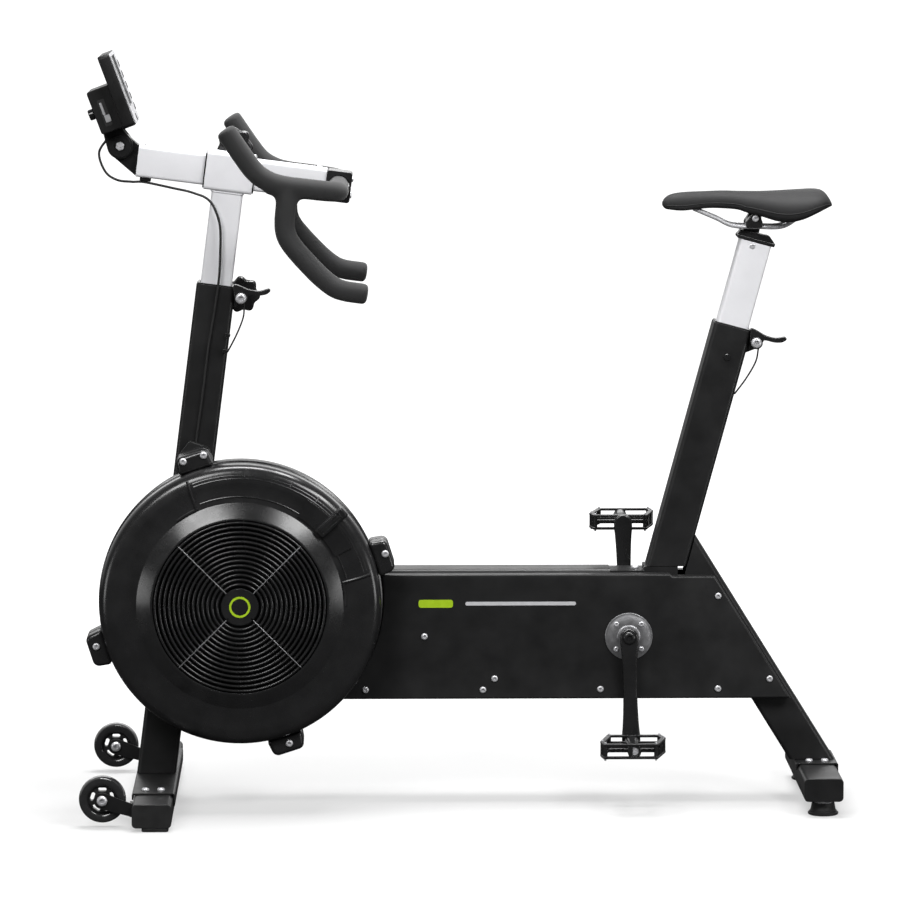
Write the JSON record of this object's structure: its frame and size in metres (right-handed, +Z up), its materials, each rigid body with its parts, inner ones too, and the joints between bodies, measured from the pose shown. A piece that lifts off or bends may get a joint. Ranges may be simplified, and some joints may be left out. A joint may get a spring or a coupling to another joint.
{
  "type": "exercise bike",
  "caption": "Upright air-resistance exercise bike with a caged fan, height-adjustable saddle and handlebar, tilting monitor, pedals, transport wheels and levelling feet.",
  "frame": {"origin": "centre of the bounding box at floor level", "axes": "+Z up, the bike faces -X, and +Y is the rider's right"},
  "size_m": [1.2288, 0.61, 1.2236],
  "materials": {
    "black_frame": "satin black powder coat",
    "white_post": "satin white paint",
    "black_plastic": "satin gloss black",
    "monitor_plastic": "matte black",
    "grip_foam": "matte foam rubber",
    "black_rubber": "matte",
    "saddle_cover": "matte synthetic leather",
    "bright_steel": "bright",
    "fan_metal": "dull",
    "grey_plate": "satin",
    "grey_key": "matte"
  },
  "bodies": {
    "frame": {"front_column": "black_frame", "main_beam": "black_frame", "seat_tube": "black_frame", "rear_leg": "black_frame", "front_bracket": "black_frame", "rear_bracket": "black_frame", "front_crossbar": "black_frame", "rear_crossbar": "black_frame", "front_end_cap_left": "black_rubber", "front_end_cap_right": "black_rubber", "side_cover_left": "black_frame", "side_cover_right": "black_frame", "crank_housing": "black_frame", "bearing_flange_left": "grey_plate", "bearing_flange_right": "grey_plate", "crank_belt": "black_rubber", "fan_belt": "black_rubber", "fan_cage_rear": "black_plastic", "fan_cage_front": "black_plastic", "wheel_arm_left": "black_frame", "wheel_arm_right": "black_frame", "monitor_lead_lower": "black_rubber"},
    "crank": {"crank_spindle": "bright_steel", "crank_pulley": "black_plastic", "crank_left": "black_frame", "crank_right": "black_frame"},
    "pedal_left": {"pedal_left": "black_plastic"},
    "pedal_right": {"pedal_right": "black_plastic"},
    "counter": {"counter_shaft": "bright_steel", "counter_pulley": "black_plastic"},
    "fan": {"fan_shaft": "bright_steel", "fan_wheel": "fan_metal"},
    "damper": {"damper_slider": "black_plastic"},
    "levelling_foot_left": {"levelling_foot_left": "black_rubber"},
    "levelling_foot_right": {"levelling_foot_right": "black_rubber"},
    "wheel_left": {"wheel_left": "black_plastic"},
    "wheel_right": {"wheel_right": "black_plastic"},
    "handlebar_post": {"handlebar_post": "white_post", "beam_sleeve": "white_post"},
    "front_release_lever": {"front_release_lever": "black_plastic"},
    "front_knob": {"front_knob": "black_plastic"},
    "beam_knob": {"beam_knob": "black_plastic"},
    "handlebar_beam": {"handlebar_beam": "white_post", "bar_clamp": "black_frame", "handlebar": "grip_foam", "monitor_bracket": "black_frame", "monitor_lead_upper": "black_rubber"},
    "monitor": {"monitor_housing": "monitor_plastic", "monitor_rear_box": "monitor_plastic"},
    "seat_post": {"seat_post": "white_post", "seat_head": "black_frame"},
    "saddle": {"saddle": "saddle_cover", "saddle_rails": "bright_steel"},
    "seat_release_lever": {"seat_release_lever": "black_plastic"},
    "monitor_key_1": {"monitor_key_1": "grey_key"},
    "monitor_key_2": {"monitor_key_2": "grey_key"},
    "monitor_key_3": {"monitor_key_3": "grey_key"},
    "monitor_key_4": {"monitor_key_4": "grey_key"},
    "monitor_key_5": {"monitor_key_5": "grey_key"},
    "monitor_menu_key": {"monitor_menu_key": "grey_key"}
  },
  "joints": [
    {"name": "fan_spin", "type": "hinge", "parent": "frame", "child": "fan", "pos_m": [-0.35897, 0, 0.3392], "axis": [0, -1, 0], "continuous": true},
    {"name": "counter_spin", "type": "hinge", "parent": "frame", "child": "counter", "pos_m": [-0.04748, 0, 0.3], "axis": [0, -1, 0], "continuous": true},
    {"name": "crank_spin", "type": "hinge", "parent": "frame", "child": "crank", "pos_m": [0.27172, 0, 0.2746], "axis": [0, -1, 0], "continuous": true},
    {"name": "pedal_left_spin", "type": "hinge", "parent": "crank", "child": "pedal_left", "pos_m": [0.27558, -0.127, 0.10464], "axis": [0, -1, 0], "continuous": true},
    {"name": "pedal_right_spin", "type": "hinge", "parent": "crank", "child": "pedal_right", "pos_m": [0.26787, 0.127, 0.44456], "axis": [0, -1, 0], "continuous": true},
    {"name": "damper_turn", "type": "hinge", "parent": "frame", "child": "damper", "pos_m": [-0.35897, 0, 0.3392], "axis": [0, -1, 0], "range_deg": [-10, 50]},
    {"name": "levelling_foot_left_turn", "type": "hinge", "parent": "frame", "child": "levelling_foot_left", "pos_m": [0.58122, -0.163, 0], "axis": [0, 0, 1], "continuous": true},
    {"name": "levelling_foot_right_turn", "type": "hinge", "parent": "frame", "child": "levelling_foot_right", "pos_m": [0.58122, 0.163, 0], "axis": [0, 0, 1], "continuous": true},
    {"name": "wheel_left_spin", "type": "hinge", "parent": "frame", "child": "wheel_left", "pos_m": [-0.57678, -0.258, 0.0455], "axis": [0, -1, 0], "continuous": true},
    {"name": "wheel_right_spin", "type": "hinge", "parent": "frame", "child": "wheel_right", "pos_m": [-0.57678, 0.258, 0.0455], "axis": [0, -1, 0], "continuous": true},
    {"name": "handlebar_height", "type": "slide", "parent": "frame", "child": "handlebar_post", "axis": [0.1253, 0, 0.9921], "range_m": [-0.13, 0.07], "deforming": ["monitor_lead_lower"]},
    {"name": "front_release_lever_pull", "type": "hinge", "parent": "frame", "child": "front_release_lever", "pos_m": [-0.35747, -0.0315, 0.82612], "axis": [0, 1, 0], "range_deg": [0, 20], "stiffness_Nm_per_rad": 1.2, "springref_deg": -11.46},
    {"name": "front_knob_turn", "type": "hinge", "parent": "frame", "child": "front_knob", "pos_m": [-0.35747, 0.045, 0.82612], "axis": [0, -1, 0], "continuous": true},
    {"name": "handlebar_reach", "type": "slide", "parent": "handlebar_post", "child": "handlebar_beam", "axis": [0.9921, 0, -0.1253], "range_m": [-0.08, 0.08], "deforming": ["monitor_lead_upper"]},
    {"name": "beam_knob_turn", "type": "hinge", "parent": "handlebar_post", "child": "beam_knob", "pos_m": [-0.36793, 0.045, 1.06965], "axis": [0, -1, 0], "continuous": true},
    {"name": "monitor_tilt", "type": "hinge", "parent": "handlebar_beam", "child": "monitor", "pos_m": [-0.55178, 0, 1.0719], "axis": [0, 1, 0], "range_deg": [-20, 35]},
    {"name": "monitor_key_1_press", "type": "slide", "parent": "monitor", "child": "monitor_key_1", "axis": [-0.9373, 0, -0.3486], "range_m": [0, 0.001], "stiffness_N_per_m": 400, "springref_m": -0.001},
    {"name": "monitor_key_2_press", "type": "slide", "parent": "monitor", "child": "monitor_key_2", "axis": [-0.9373, 0, -0.3486], "range_m": [0, 0.001], "stiffness_N_per_m": 400, "springref_m": -0.001},
    {"name": "monitor_key_3_press", "type": "slide", "parent": "monitor", "child": "monitor_key_3", "axis": [-0.9373, 0, -0.3486], "range_m": [0, 0.001], "stiffness_N_per_m": 400, "springref_m": -0.001},
    {"name": "monitor_key_4_press", "type": "slide", "parent": "monitor", "child": "monitor_key_4", "axis": [-0.9373, 0, -0.3486], "range_m": [0, 0.001], "stiffness_N_per_m": 400, "springref_m": -0.001},
    {"name": "monitor_key_5_press", "type": "slide", "parent": "monitor", "child": "monitor_key_5", "axis": [-0.9373, 0, -0.3486], "range_m": [0, 0.001], "stiffness_N_per_m": 400, "springref_m": -0.001},
    {"name": "monitor_menu_key_press", "type": "slide", "parent": "monitor", "child": "monitor_menu_key", "axis": [-0.9373, 0, -0.3486], "range_m": [0, 0.001], "stiffness_N_per_m": 400, "springref_m": -0.001},
    {"name": "seat_height", "type": "slide", "parent": "frame", "child": "seat_post", "axis": [0.2613, 0, 0.9652], "range_m": [-0.12, 0.08]},
    {"name": "saddle_tilt", "type": "hinge", "parent": "seat_post", "child": "saddle", "pos_m": [0.47573, 0, 0.9539], "axis": [0, 1, 0], "range_deg": [-8, 8]},
    {"name": "seat_release_lever_pull", "type": "hinge", "parent": "frame", "child": "seat_release_lever", "pos_m": [0.47811, -0.0315, 0.75249], "axis": [0, 1, 0], "range_deg": [0, 20], "stiffness_Nm_per_rad": 1.2, "springref_deg": -11.46}
  ],
  "couplings": [
    {"joint": "counter_spin", "follows": "fan_spin", "ratio": 0.35714},
    {"joint": "crank_spin", "follows": "fan_spin", "ratio": 0.12755}
  ]
}
